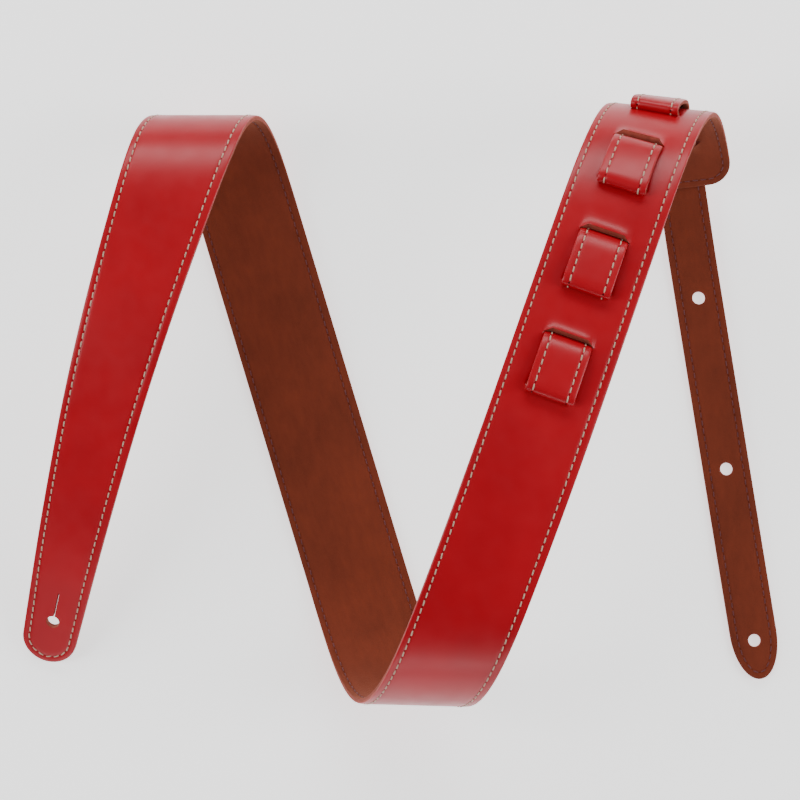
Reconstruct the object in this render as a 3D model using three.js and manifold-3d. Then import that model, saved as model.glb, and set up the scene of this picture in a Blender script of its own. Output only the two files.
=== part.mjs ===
// Two-inch leather guitar strap, lying folded on a table: a lined main strap with a tapered button end
// and a ladder of slits at the other end, and a narrow three-hole tail woven through the ladder.
// Millimetres, +Z up. The strap is described flat first: u runs along it from the button tip, v runs
// across it and h is the height over its middle plane, positive on the smooth side. Folding rolls it
// round a few straight lines, one after the other, so the leather never stretches.
import * as THREE from 'three';
import { mergeVertices } from 'three/addons/utils/BufferGeometryUtils.js';
import Module from 'manifold-3d';

const wasm = await Module();
wasm.setup();
const DEG = Math.PI / 180;

// Main strap
const HALF_WIDTH = 25.4;
const HALF_THICKNESS = 1.5;
const GLUE_GAP = 0.3;
const LENGTH = 1113;
const TIP_RADIUS = 14;
const TAPER_LENGTH = 290;
const END_CORNER_RADIUS = 12;

// Button holes
const HOLE_RADIUS = 3.2;
const BUTTON_HOLE_AT = 25;
const KEY_SLIT_END = 44;
const KEY_SLIT_WIDTH = 0.8;

// Tail, woven through the ladder of slits in the main strap
const SLIT_PITCH = 26.8;
const FIRST_SLIT = 871.4;
const SLIT_COUNT = 9;
const RAMP = 5.2; // length over which the tail crosses a slit
const SLIT_CLEARANCE = 0.3;
const TAIL_HALF_WIDTH = 12;
const TAIL_RISE = 4.2; // the tail's middle plane over the strap's, on an outside pass
const TAIL_DIP = -4; // and on an inside pass
const TAIL_START = 836;
const TAIL_SWING = -1.95 * DEG; // heading of the free tail against the strap's
const TAIL_SWING_FROM = 1143; // where the swung line crosses the strap's middle line
const TAIL_FIRST_HOLE = 1170.5;
const TAIL_HOLE_PITCH = 88.9;
const TAIL_HOLE_COUNT = 3;
const TAIL_END = TAIL_FIRST_HOLE + (TAIL_HOLE_COUNT - 1) * TAIL_HOLE_PITCH + 20;
const TAIL_POINT = 24; // length of the half-elliptical end

// Stitching
const THREAD_HALF_WIDTH = 0.4;
const THREAD_THICKNESS = 0.3;
const SEAM_INSET = 3.5;
const EDGE_BAND = 4.6; // the thinned edge that the seams run along
const EDGE_THINNING = 0.4;

// Where the strap is cut into stiff lengths for its folding joints
const JOINT_GAP = 0.3;
const NEAR_CREST = 325;
const TROUGH = 670;
const FAR_CREST = 1045;
const TAIL_BEND_START = 1098;
const TAIL_BEND_END = 1150;

// Folds. lean turns a fold's line from square across the strap, ease gathers the bend to its middle.
const FOLDS = [
  { from: 50, to: 134, lean: -6, turn: 10, ease: 0 },
  { from: 134, to: 234, lean: 2.7, turn: 27.6, ease: 0 },
  { from: 234, to: 416, lean: -16.8, turn: 173.65, ease: 1 },
  { from: 582.5, to: 757.5, lean: -18.4, turn: 163.4, ease: 0.33 },
  { from: 757.5, to: 862.5, lean: -8.5, turn: 18, ease: 0 },
  { from: 862.5, to: 967.5, lean: -45.8, turn: 13.4, ease: 0 },
  { from: 967.5, to: 1147, lean: -12.9, turn: 164.6, ease: 0.46 },
  { from: 1147, to: 1227, lean: -70, turn: 5.8, ease: 0 },
];
const SHARP_TURN = 90;
const SHARP_STEP = 10;
const GENTLE_STEP = 16;
const TAIL_STEP = 12;
const TAIL_BEND_STEP = 6.5;

// The length on the table, which the folds build on
const FLAT_AT = 458;
const FLAT_PLACE = new THREE.Vector3(-58.8, 32.6, HALF_THICKNESS + GLUE_GAP + THREAD_THICKNESS);
const FLAT_HEADING = 16.8 * DEG;

const leatherRed = new THREE.MeshStandardMaterial({ color: 0xc00018, roughness: 0.35, metalness: 0 });
const suedeBrown = new THREE.MeshStandardMaterial({ color: 0x7c2c15, roughness: 0.95, metalness: 0 });
const creamThread = new THREE.MeshStandardMaterial({ color: 0xe1beaa, roughness: 0.7, metalness: 0 });
const maroonThread = new THREE.MeshStandardMaterial({ color: 0x82373c, roughness: 0.7, metalness: 0 });

const strap = new THREE.Group();

// ---- Folding ----

const lerp = THREE.MathUtils.lerp;
const clamp = THREE.MathUtils.clamp;

// The path round a fold as running sums: turned angle, distance along and drop below the tangent.
function foldPath(fold) {
  const length = fold.to - fold.from;
  const steps = 200;
  const turned = (s) => fold.turn * DEG * (s / length
    + fold.ease * Math.sin(2 * Math.PI * (s / length - 0.5)) / (2 * Math.PI));
  const path = [{ angle: 0, along: 0, drop: 0 }];
  for (let i = 1; i <= steps; i++) {
    const last = path[i - 1];
    const angle = turned(length * i / steps);
    const middle = (angle + last.angle) / 2;
    path.push({
      angle,
      along: last.along + Math.cos(middle) * length / steps,
      drop: last.drop + Math.sin(middle) * length / steps,
    });
  }
  return (s) => {
    const place = clamp(s / length, 0, 1) * steps;
    const i = Math.min(Math.floor(place), steps - 1);
    const mix = (key) => lerp(path[i][key], path[i + 1][key], place - i);
    return { angle: mix('angle'), along: mix('along'), drop: mix('drop') };
  };
}

for (const fold of FOLDS) {
  fold.middle = (fold.from + fold.to) / 2;
  fold.reach = (fold.to - fold.from) / 2;
  fold.side = fold.middle > FLAT_AT ? 1 : -1;
  fold.slope = Math.tan(fold.lean * DEG);
  fold.path = foldPath(fold);
}
// A fold nearer the flat length carries the ones beyond it, so the farthest are rolled first.
const FOLD_ORDER = [...FOLDS].sort((a, b) => Math.abs(b.middle - FLAT_AT) - Math.abs(a.middle - FLAT_AT));

function rollRound(fold, point, u, v) {
  const cos = Math.cos(fold.lean * DEG);
  const sin = Math.sin(fold.lean * DEG);
  const rolled = clamp(fold.side * ((u - fold.middle) * cos - v * sin) + fold.reach, 0, 2 * fold.reach);
  const { angle, along, drop } = fold.path(rolled);
  const across = (point.x - fold.middle) * sin + point.y * cos;
  const ahead = fold.side * ((point.x - fold.middle) * cos - point.y * sin) - (rolled - fold.reach);
  const out = fold.side * (along - fold.reach + ahead * Math.cos(angle) + point.z * Math.sin(angle));
  point.set(
    fold.middle + out * cos + across * sin,
    across * cos - out * sin,
    -drop - ahead * Math.sin(angle) + point.z * Math.cos(angle),
  );
}

const FLAT_FRAME = new THREE.Matrix4().makeBasis(
  new THREE.Vector3(Math.sin(FLAT_HEADING), -Math.cos(FLAT_HEADING), 0),
  new THREE.Vector3(-Math.cos(FLAT_HEADING), -Math.sin(FLAT_HEADING), 0),
  new THREE.Vector3(0, 0, -1),
).setPosition(FLAT_PLACE);

// Where a point of the flat strap ends up in the folded strap.
function place(u, v, h) {
  const point = new THREE.Vector3(u, v, h);
  for (const fold of FOLD_ORDER) rollRound(fold, point, u, v);
  point.x -= FLAT_AT;
  return point.applyMatrix4(FLAT_FRAME);
}

// The folded strap's frame at a point: along it, across it and out of its smooth side.
function frameAt(u, v, h) {
  const step = 0.05;
  const along = place(u + step, v, h).sub(place(u - step, v, h)).normalize();
  const out = place(u, v, h + step).sub(place(u, v, h - step)).normalize();
  const across = new THREE.Vector3().crossVectors(out, along).normalize();
  return new THREE.Matrix4().makeBasis(along, across, new THREE.Vector3().crossVectors(along, across))
    .setPosition(place(u, v, h));
}

// ---- Outlines ----

const NARROWEST = 0.5;

// Half the main strap's width at u, inset from its edge: a round tip, a long taper, round end corners.
function strapHalfWidth(u, inset = 0) {
  const circle = (radius, off) => Math.sqrt(Math.max(radius ** 2 - off ** 2, NARROWEST ** 2));
  if (u < TIP_RADIUS) return circle(TIP_RADIUS - inset, TIP_RADIUS - u);
  const taper = clamp((u - TIP_RADIUS) / (TAPER_LENGTH - TIP_RADIUS), 0, 1);
  const cornerRadius = END_CORNER_RADIUS - inset;
  const intoCorner = Math.max(u - (LENGTH - END_CORNER_RADIUS), 0);
  return lerp(TIP_RADIUS, HALF_WIDTH, taper) - inset - cornerRadius + circle(cornerRadius, intoCorner);
}

function tailHalfWidth(u, inset = 0) {
  const intoPoint = clamp((u - (TAIL_END - TAIL_POINT)) / (TAIL_POINT - inset), 0, 0.998);
  return (TAIL_HALF_WIDTH - inset) * Math.sqrt(1 - intoPoint ** 2);
}

// Both layers are thinned towards every edge: the share of the thinning, at a distance from an end.
const thinnedAt = (fromEnd) => clamp(1 - fromEnd / EDGE_BAND, 0, 1);

// The free tail swings a little to one side of the strap's middle line.
function tailMiddle(u) {
  const eased = THREE.MathUtils.smoothstep(u, FAR_CREST, TAIL_BEND_START);
  return eased * (u - TAIL_SWING_FROM) * Math.tan(TAIL_SWING);
}

// ---- Rows: lines across the strap, parallel to the fold they cross ----

const ROW_MARGIN = 1.5; // between a row and the ends of its length
const LEANING_ROOM = 14; // past a sharp fold, where a leaning row would cross square ones
const isSharp = (fold) => fold.turn > SHARP_TURN;

function strapRows(from, to) {
  const candidates = [];
  for (const fold of FOLDS.filter(isSharp)) {
    const count = Math.round(2 * fold.reach / SHARP_STEP);
    for (let i = 0; i <= count; i++) {
      const rolled = lerp(-fold.reach, fold.reach, i / count) / Math.cos(fold.lean * DEG);
      candidates.push({ u: fold.middle + rolled, slope: fold.slope });
    }
  }
  for (let u = GENTLE_STEP; u < LENGTH; u += GENTLE_STEP) candidates.push({ u, slope: 0 });
  const clear = (row) => {
    const beyond = (edge, sign) => [-HALF_WIDTH, HALF_WIDTH].every(
      (v) => sign * (row.u + row.slope * v - edge.u - edge.slope * v) > ROW_MARGIN);
    return beyond(from, 1) && beyond(to, -1);
  };
  const inSharp = (row) => FOLDS.some((fold) => isSharp(fold) && row.slope === 0
    && Math.abs(row.u - fold.middle) < fold.reach + LEANING_ROOM);
  const rows = candidates.filter((row) => clear(row) && !inSharp(row)).sort((a, b) => a.u - b.u);
  return [from, ...rows, to];
}

const jointRow = (u, side) => {
  const fold = FOLDS.find((one) => isSharp(one) && Math.abs(u - one.middle) < one.reach);
  return { u: u + side * JOINT_GAP / 2, slope: fold.slope };
};

const roundTipRows = [
  { u: 0.2, slope: 0 },
  ...[15, 40, 65, 90].map(
    (angle) => ({ u: TIP_RADIUS - (TIP_RADIUS - EDGE_BAND) * Math.cos(angle * DEG), slope: 0 })),
];
const roundEndRows = [
  ...[0, 35, 65].map((angle) => (
    { u: LENGTH - END_CORNER_RADIUS + (END_CORNER_RADIUS - EDGE_BAND) * Math.sin(angle * DEG), slope: 0 })),
  { u: LENGTH - EDGE_BAND / 2, slope: 0 },
  { u: LENGTH - 0.2, slope: 0 },
];

const buttonEndRows = [
  ...roundTipRows.slice(0, -1),
  ...strapRows(roundTipRows.at(-1), jointRow(NEAR_CREST, -1)),
];
const middleRows = strapRows(jointRow(NEAR_CREST, 1), jointRow(TROUGH, -1));
const ladderRows = strapRows(jointRow(TROUGH, 1), jointRow(FAR_CREST, -1));
const flapRows = [...strapRows(jointRow(FAR_CREST, 1), roundEndRows[0]), ...roundEndRows.slice(1)];

// ---- Solids ----

function addMesh(name, geometry, material) {
  const mesh = new THREE.Mesh(geometry, material);
  mesh.name = name;
  strap.add(mesh);
}

// A box of rows and columns whose vertices are moved to corner(row, column, side).
function foldedBox(rowCount, columnCount, corner) {
  const box = new THREE.BoxGeometry(1, 1, 1, rowCount - 1, columnCount - 1, 1);
  const { position } = box.attributes;
  for (let i = 0; i < position.count; i++) {
    const row = Math.round((position.getX(i) + 0.5) * (rowCount - 1));
    const column = Math.round((position.getY(i) + 0.5) * (columnCount - 1));
    const { x, y, z } = corner(row, column, position.getZ(i) > 0 ? 1 : 0);
    position.setXYZ(i, x, y, z);
  }
  box.deleteAttribute('normal');
  box.deleteAttribute('uv');
  return mergeVertices(box, 1e-4);
}

// The columns of a layer: its two edges, the two inner lines of its edge bands and its middle.
const COLUMNS = [
  { side: -1, inset: 0 }, { side: -1, inset: EDGE_BAND }, { side: 0, inset: 0 },
  { side: 1, inset: EDGE_BAND }, { side: 1, inset: 0 },
];

// A layer's height over the middle plane: the face on the outside is thinned, the glued one is not.
function layerHeight({ side, inset }, fromEnd, outer, inner, upper) {
  const thinned = side !== 0 && inset === 0 ? 1 : thinnedAt(fromEnd);
  const face = outer - Math.sign(outer) * EDGE_THINNING * thinned;
  return (outer > 0) === Boolean(upper) ? face : inner;
}

// A point across a leaning row, at an inset from the strap's edge.
function rowPoint({ u, slope }, side, inset) {
  let v = side * strapHalfWidth(u, inset);
  for (let pass = 0; pass < 3; pass++) v = side * strapHalfWidth(u + v * slope, inset);
  return new THREE.Vector2(u + v * slope, v);
}

function strapLayer(rows, outer, inner) {
  return foldedBox(rows.length, COLUMNS.length, (row, column, upper) => {
    const { side, inset } = COLUMNS[column];
    const point = rowPoint(rows[row], side, inset);
    const fromEnd = Math.min(point.x, LENGTH - point.x);
    return place(point.x, point.y, layerHeight(COLUMNS[column], fromEnd, outer, inner, upper));
  });
}

// The way a line of thread or a tail runs is a list of points with the direction square to it.
function mitred(points) {
  return points.map((point, i) => {
    const back = point.clone().sub(points[Math.max(i - 1, 0)]);
    const ahead = points[Math.min(i + 1, points.length - 1)].clone().sub(point);
    if (i === 0) back.copy(ahead);
    if (i === points.length - 1) ahead.copy(back);
    const square = back.normalize().clone().add(ahead.normalize()).normalize();
    const stretch = 1 / Math.max(Math.sqrt((1 + back.dot(ahead)) / 2), 0.5);
    return { point, square: new THREE.Vector2(-square.y, square.x).multiplyScalar(stretch) };
  });
}

// A thread lying on the strap along points (u, v), between two heights.
function strapThread(points, low, high) {
  const line = mitred(points);
  return foldedBox(line.length, 2, (row, column, side) => {
    const { point, square } = line[row];
    const offset = (2 * column - 1) * THREAD_HALF_WIDTH;
    return place(point.x + square.x * offset, point.y + square.y * offset, side ? high : low);
  });
}

// ---- The tail's way: points (u, h) ----

const slitPlaces = Array.from({ length: SLIT_COUNT }, (_, i) => FIRST_SLIT + i * SLIT_PITCH);

// The tail starts behind the strap, and each slit takes it to the other side on a straight ramp.
function tailHeight(u) {
  const crossed = slitPlaces.map((slit) => clamp((u - slit) / RAMP + 0.5, 0, 1));
  const outside = crossed.reduce((sum, share, i) => sum + (i % 2 ? -share : share), 0);
  return lerp(TAIL_DIP, TAIL_RISE, outside);
}

function tailWay(from, to) {
  const bend = FOLDS.find((fold) => isSharp(fold) && Math.abs(FAR_CREST - fold.middle) < fold.reach);
  const ends = slitPlaces.flatMap((slit) => [slit - RAMP / 2, slit + RAMP / 2]);
  const stops = [from, ...ends.filter((u) => u > from && u < to), to];
  const way = [];
  stops.slice(1).forEach((next, i) => {
    const step = next > bend.from && next < bend.to + TAIL_BEND_STEP ? TAIL_BEND_STEP : TAIL_STEP;
    const count = Math.ceil((next - stops[i]) / step);
    for (let k = 0; k < count; k++) {
      const u = lerp(stops[i], next, k / count);
      way.push(new THREE.Vector2(u, tailHeight(u)));
    }
  });
  way.push(new THREE.Vector2(to, tailHeight(to)));
  return mitred(way);
}

// A band of the tail: heights are over its own middle plane, sides are shares of its width.
function tailBand(way, low, high, side = (u) => [-tailHalfWidth(u), tailHalfWidth(u)]) {
  return foldedBox(way.length, 2, (row, column, upper) => {
    const { point, square } = way[row];
    const offset = upper ? high : low;
    const u = point.x + square.x * offset;
    const v = tailMiddle(u) + side(u)[column];
    return place(u, v, point.y + square.y * offset);
  });
}

function tailThread(way, edge, low, high) {
  const middle = edge * (TAIL_HALF_WIDTH - SEAM_INSET);
  return tailBand(way, low, high, () => [middle - THREAD_HALF_WIDTH, middle + THREAD_HALF_WIDTH]);
}

// ---- Cutting ----

function solidOf(geometry) {
  const merged = mergeVertices(geometry, 1e-4);
  return new wasm.Manifold(new wasm.Mesh({
    numProp: 3,
    vertProperties: new Float32Array(merged.attributes.position.array),
    triVerts: new Uint32Array(merged.index.array),
  }));
}

function cut(geometry, ...tools) {
  let solid = solidOf(geometry);
  for (const tool of tools) solid = solid.subtract(solidOf(tool));
  const { vertProperties, triVerts } = solid.getMesh();
  const result = new THREE.BufferGeometry();
  result.setAttribute('position', new THREE.BufferAttribute(vertProperties, 3));
  result.setIndex(new THREE.BufferAttribute(triVerts, 1));
  return result;
}

// A tool standing square through the strap at a point of it.
function through(geometry, u, v, h) {
  geometry.deleteAttribute('normal');
  geometry.deleteAttribute('uv');
  return geometry.applyMatrix4(frameAt(u, v, h));
}

const TOOL_DEPTH = 12;

function roundHole(u, v, h) {
  const drill = new THREE.CylinderGeometry(HOLE_RADIUS, HOLE_RADIUS, TOOL_DEPTH, 16).rotateX(Math.PI / 2);
  return through(drill, u, v, h);
}

function keySlit() {
  const length = KEY_SLIT_END - BUTTON_HOLE_AT;
  const blade = new THREE.BoxGeometry(length, KEY_SLIT_WIDTH, TOOL_DEPTH);
  return through(blade, BUTTON_HOLE_AT + length / 2, 0, 0);
}

// ---- The parts ----

const THREAD_LOW = HALF_THICKNESS + GLUE_GAP;
const THREAD_HIGH = THREAD_LOW + THREAD_THICKNESS;
const LAYERS = {
  leather: { outer: HALF_THICKNESS, inner: 0, material: leatherRed },
  lining: { outer: -HALF_THICKNESS, inner: -GLUE_GAP, material: suedeBrown },
};
const SEAMS = {
  top_thread: { low: THREAD_LOW, high: THREAD_HIGH, material: creamThread },
  back_thread: { low: -THREAD_HIGH, high: -THREAD_LOW, material: maroonThread },
};

const seamPoints = (rows, side) => rows.map((row) => rowPoint(row, side, SEAM_INSET));

function arcPoints(middleU, middleV, radiusU, radiusV, fromAngle, toAngle, steps) {
  return Array.from({ length: steps + 1 }, (_, i) => {
    const angle = lerp(fromAngle, toAngle, i / steps) * DEG;
    return new THREE.Vector2(middleU + radiusU * Math.cos(angle), middleV + radiusV * Math.sin(angle));
  });
}

// The seam round the button end, from one edge round the tip to the other.
function buttonSeam() {
  const straight = buttonEndRows.filter(({ u }) => u > TIP_RADIUS + 1);
  const tip = arcPoints(TIP_RADIUS, 0, TIP_RADIUS - SEAM_INSET, TIP_RADIUS - SEAM_INSET, 90, 270, 10);
  return [...seamPoints(straight, 1).reverse(), ...tip, ...seamPoints(straight, -1)];
}

// The seam round the flap, from one edge round its two corners to the other.
function flapSeam() {
  const cornerU = LENGTH - END_CORNER_RADIUS;
  const cornerV = HALF_WIDTH - END_CORNER_RADIUS;
  const radius = END_CORNER_RADIUS - SEAM_INSET;
  const straight = flapRows.filter(({ u, slope }) => u + HALF_WIDTH * Math.abs(slope) < cornerU - 1);
  return [
    ...seamPoints(straight, 1),
    ...arcPoints(cornerU, cornerV, radius, radius, 90, 0, 4),
    ...arcPoints(cornerU, -cornerV, radius, radius, 0, -90, 4),
    ...seamPoints(straight, -1).reverse(),
  ];
}

function addStrapLength(body, rows, seams, tools) {
  for (const [layer, { outer, inner, material }] of Object.entries(LAYERS)) {
    const shell = strapLayer(rows, outer, inner);
    addMesh(`${body}_${layer}`, tools.length ? cut(shell, ...tools) : shell, material);
  }
  for (const [seam, points] of Object.entries(seams)) {
    for (const [thread, { low, high, material }] of Object.entries(SEAMS)) {
      addMesh(`${body}_${thread}${seam}`, strapThread(points, low, high), material);
    }
  }
}

const bothEdges = (rows) => ({ _left: seamPoints(rows, 1), _right: seamPoints(rows, -1) });

// The tail with room round it for its threads, which opens the slits it passes through.
const tailRoom = tailBand(
  tailWay(TAIL_START - 1, LENGTH + 2),
  -THREAD_HIGH - SLIT_CLEARANCE,
  THREAD_HIGH + SLIT_CLEARANCE,
  () => [-TAIL_HALF_WIDTH - SLIT_CLEARANCE, TAIL_HALF_WIDTH + SLIT_CLEARANCE],
);

const buttonHole = [roundHole(BUTTON_HOLE_AT, 0, 0), keySlit()];
addStrapLength('button_end', buttonEndRows, { '': buttonSeam() }, buttonHole);
addStrapLength('middle_span', middleRows, bothEdges(middleRows), []);
addStrapLength('ladder_span', ladderRows, bothEdges(ladderRows), [tailRoom]);
addStrapLength('end_flap', flapRows, { '': flapSeam() }, [tailRoom]);

function addTailLength(name, from, to, withThreads) {
  const way = tailWay(from, to);
  for (const [layer, { outer, inner, material }] of Object.entries(LAYERS)) {
    addMesh(`${name}_${layer}`, tailBand(way, Math.min(inner, outer), Math.max(inner, outer)), material);
  }
  if (!withThreads) return;
  for (const [thread, { low, high, material }] of Object.entries(SEAMS)) {
    for (const [edge, side] of Object.entries({ left: 1, right: -1 })) {
      addMesh(`${name}_${thread}_${edge}`, tailThread(way, side, low, high), material);
    }
  }
}

addTailLength('woven_tail', TAIL_START, FAR_CREST - JOINT_GAP / 2, true);
addTailLength('crest_tail', FAR_CREST + JOINT_GAP / 2, TAIL_BEND_START, true);
addTailLength('tail_bend', TAIL_BEND_START + GLUE_GAP, TAIL_BEND_END, false);

// The free tail: straight on the table, with its three holes, a pointed end and a seam round it.
const pointStart = TAIL_END - TAIL_POINT;
const freeTailStart = TAIL_BEND_END + GLUE_GAP;
const freeTailRows = [freeTailStart];
for (let u = freeTailStart + GENTLE_STEP; u < pointStart - THREAD_HIGH; u += GENTLE_STEP) {
  freeTailRows.push(u);
}
for (const angle of [0, 25, 45, 60, 75]) {
  freeTailRows.push(pointStart + (TAIL_POINT - EDGE_BAND) * Math.sin(angle * DEG));
}
freeTailRows.push(TAIL_END - EDGE_BAND / 2, TAIL_END - 0.2);
const tailHoles = Array.from({ length: TAIL_HOLE_COUNT }, (_, i) => {
  const u = TAIL_FIRST_HOLE + i * TAIL_HOLE_PITCH;
  return roundHole(u, tailMiddle(u), TAIL_RISE);
});

function freeTailLayer(outer, inner) {
  return foldedBox(freeTailRows.length, COLUMNS.length, (row, column, upper) => {
    const { side, inset } = COLUMNS[column];
    const u = freeTailRows[row];
    const v = tailMiddle(u) + side * tailHalfWidth(u, inset);
    return place(u, v, TAIL_RISE + layerHeight(COLUMNS[column], TAIL_END - u, outer, inner, upper));
  });
}

for (const [layer, { outer, inner, material }] of Object.entries(LAYERS)) {
  addMesh(`tail_${layer}`, cut(freeTailLayer(outer, inner), ...tailHoles), material);
}

function tailSeam() {
  const offset = TAIL_HALF_WIDTH - SEAM_INSET;
  const straight = freeTailRows.filter((u) => u < pointStart);
  const side = (edge) => straight.map((u) => new THREE.Vector2(u, edge * offset));
  const tip = arcPoints(pointStart, 0, TAIL_POINT - SEAM_INSET, offset, 90, -90, 12);
  return [...side(1), ...tip, ...side(-1).reverse()];
}

function tailSeamThread(low, high) {
  const line = mitred(tailSeam());
  return foldedBox(line.length, 2, (row, column, side) => {
    const { point, square } = line[row];
    const offset = (2 * column - 1) * THREAD_HALF_WIDTH;
    const u = point.x + square.x * offset;
    return place(u, tailMiddle(u) + point.y + square.y * offset, TAIL_RISE + (side ? high : low));
  });
}

for (const [thread, { low, high, material }] of Object.entries(SEAMS)) {
  addMesh(`tail_${thread}`, tailSeamThread(low, high), material);
}

export default strap;
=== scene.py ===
"""A lined leather guitar strap, lying folded, with its tail woven through a ladder of slits.

The strap is described flat first: u runs along it from the button tip, v across it and h out of its
smooth side. Folding then rolls it round a few straight lines, so the leather is bent and never stretched.
Lengths are in metres.
"""
import math

import bmesh
import bpy
import numpy as np
from bpy.props import FloatProperty, FloatVectorProperty, IntProperty, PointerProperty
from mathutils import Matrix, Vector


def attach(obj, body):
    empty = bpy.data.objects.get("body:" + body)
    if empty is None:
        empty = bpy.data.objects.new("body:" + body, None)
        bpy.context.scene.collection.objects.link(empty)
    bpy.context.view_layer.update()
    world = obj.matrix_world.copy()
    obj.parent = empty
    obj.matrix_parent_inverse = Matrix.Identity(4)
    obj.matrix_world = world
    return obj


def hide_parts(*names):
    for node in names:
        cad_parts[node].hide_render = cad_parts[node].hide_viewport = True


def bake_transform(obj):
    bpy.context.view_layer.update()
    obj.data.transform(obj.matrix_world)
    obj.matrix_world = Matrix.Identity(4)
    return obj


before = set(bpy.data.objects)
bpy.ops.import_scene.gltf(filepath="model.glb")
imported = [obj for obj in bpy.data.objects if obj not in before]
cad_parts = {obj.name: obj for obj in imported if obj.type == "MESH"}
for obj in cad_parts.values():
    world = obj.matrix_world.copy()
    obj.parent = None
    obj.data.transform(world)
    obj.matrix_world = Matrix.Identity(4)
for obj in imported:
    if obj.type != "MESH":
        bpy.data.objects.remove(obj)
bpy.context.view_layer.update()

bl_info = {
    "name": "Woven Guitar Strap",
    "version": (1, 0, 0),
    "blender": (4, 5, 0),
    "location": "View3D > Sidebar > Strap",
    "description": "Builds a folded leather guitar strap with a woven tail",
    "category": "Add Mesh",
}

MM = 0.001

# Folds: from, to, the lean of the fold's line in degrees, the turn in degrees, how far it gathers.
FOLDS = (
    (0.050, 0.134, -6.0, 10.0, 0.0),
    (0.134, 0.234, 2.7, 27.6, 0.0),
    (0.234, 0.416, -16.8, 173.65, 1.0),
    (0.5825, 0.7575, -18.4, 163.4, 0.33),
    (0.7575, 0.8625, -8.5, 18.0, 0.0),
    (0.8625, 0.9675, -45.8, 13.4, 0.0),
    (0.9675, 1.147, -12.9, 164.6, 0.46),
    (1.147, 1.227, -70.0, 5.8, 0.0),
)
NEAR_FOLD, TROUGH_FOLD, FAR_FOLD = 2, 3, 6
FLAT_AT = 0.458
FLAT_PLACE = np.array((-0.0588, 0.0326, 0.0021))
FLAT_HEADING = math.radians(16.8)

# Where the lengths of strap meet, and the fold lines between which each fold bends at a joint.
CUTS = {"near": (0.252, 0.398), "trough": (0.570, 0.772), "far": 0.9652}
BENDS = {"near": (0.266, 0.384), "trough": (0.596, 0.744), "far": (0.990, 1.093)}
TAIL_CUTS = (1.098, 1.150)
TAIL_BENDS = (1.102, 1.146)

# The free tail swings aside: where that starts, the place it turns about, and by how much.
SWING_FROM, SWING_ABOUT = 1.045, 1.143
SWING = math.tan(math.radians(-1.95))


# ---- Sizes and colours ----

def length_property(name, description, default):
    return FloatProperty(name=name, description=description, default=default, min=0.0, unit="LENGTH")


def colour_property(name, description, default):
    return FloatVectorProperty(name=name, description=description, default=default, size=3,
                               min=0.0, max=1.0, subtype="COLOR")


class StrapSizes(bpy.types.PropertyGroup):
    width: length_property("Width", "Width of the main strap", 0.0508)
    thickness: length_property("Thickness", "Leather and lining together", 0.0032)
    length: length_property("Length", "Main strap from the button tip to the end of the flap", 1.113)
    tip_radius: length_property("Tip radius", "Round end at the button hole", 0.014)
    taper_length: length_property("Taper", "Where the taper from the tip reaches full width", 0.290)
    corner_radius: length_property("Corner radius", "Round corners of the flap", 0.012)
    hole_diameter: length_property("Hole", "Diameter of every button hole", 0.0064)
    hole_at: length_property("Hole place", "Button hole from the tip", 0.025)
    key_slit_end: length_property("Key slit end", "Far end of the slit, from the tip", 0.0434)
    key_slit_width: length_property("Key slit width", "Opening of the key slit", 0.0006)


class LadderSizes(bpy.types.PropertyGroup):
    count: IntProperty(name="Slits", description="Number of slits", default=9, min=1)
    first: length_property("First slit", "First slit from the button tip", 0.8714)
    pitch: length_property("Pitch", "Distance between slits", 0.0268)
    half_width: length_property("Half width", "Half the width of a slit", 0.0132)
    lip_length: length_property("Lip length", "How far back a slit's lip bends", 0.0090)
    lip_rise: length_property("Lip rise", "How far a lip lifts over the tail", 0.0021)
    lip_sink: length_property("Lip sink", "How far a lip is pushed in under the tail", 0.0020)
    opening: length_property("Opening", "How far each lip is drawn back", 0.0019)


class TailSizes(bpy.types.PropertyGroup):
    width: length_property("Width", "Width of the tail", 0.024)
    thickness: length_property("Thickness", "Leather and lining together", 0.0026)
    start: length_property("Start", "Inner end, behind the first slit", 0.836)
    first_hole: length_property("First hole", "First hole, from the button tip", 1.1705)
    hole_pitch: length_property("Hole pitch", "Distance between the holes", 0.0889)
    hole_count: IntProperty(name="Holes", description="Number of holes", default=3, min=1)
    beyond: length_property("Beyond", "Tail past its last hole", 0.020)
    point: length_property("Point", "Length of the pointed end", 0.024)
    inside: length_property("Inside", "Depth of an inside pass under the strap's middle", 0.0032)
    outside: length_property("Outside", "Height of the free tail over the strap's middle", 0.00465)


class SeamSizes(bpy.types.PropertyGroup):
    pitch: length_property("Pitch", "Length of one stitch with its needle hole", 0.00411)
    left: length_property("Left inset", "Seam from the left edge", 0.0031)
    right: length_property("Right inset", "Seam from the right edge", 0.0040)
    end: length_property("End inset", "Seam from the ends and on the tail", 0.0035)
    groove: length_property("Groove", "Depth to which the thread is pulled in", 0.00024)
    thread: length_property("Thread", "Thickness of the needle thread", 0.00074)
    bobbin: length_property("Bobbin thread", "Thickness of the thread on the suede side", 0.00058)


class Finishes(bpy.types.PropertyGroup):
    red: colour_property("Red", "Smooth side", (0.40, 0.0008, 0.009))
    cut_edge: colour_property("Cut edge", "Raw edge of the leather", (0.34, 0.07, 0.045))
    suede: colour_property("Suede", "Lining", (0.15, 0.025, 0.010))
    thread: colour_property("Needle thread", "Thread on the smooth side", (0.60, 0.40, 0.29))
    bobbin: colour_property("Bobbin thread", "Thread on the suede side", (0.15, 0.03, 0.036))
    # hole is painted shade: the near-black colour of the needle holes' shallow dishes stands in for the
    # shade inside each hole.
    hole: colour_property("Needle hole", "Inside of a needle hole", (0.035, 0.004, 0.004))
    floor: colour_property("Floor", "Pale floor", (0.86, 0.86, 0.86))


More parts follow.
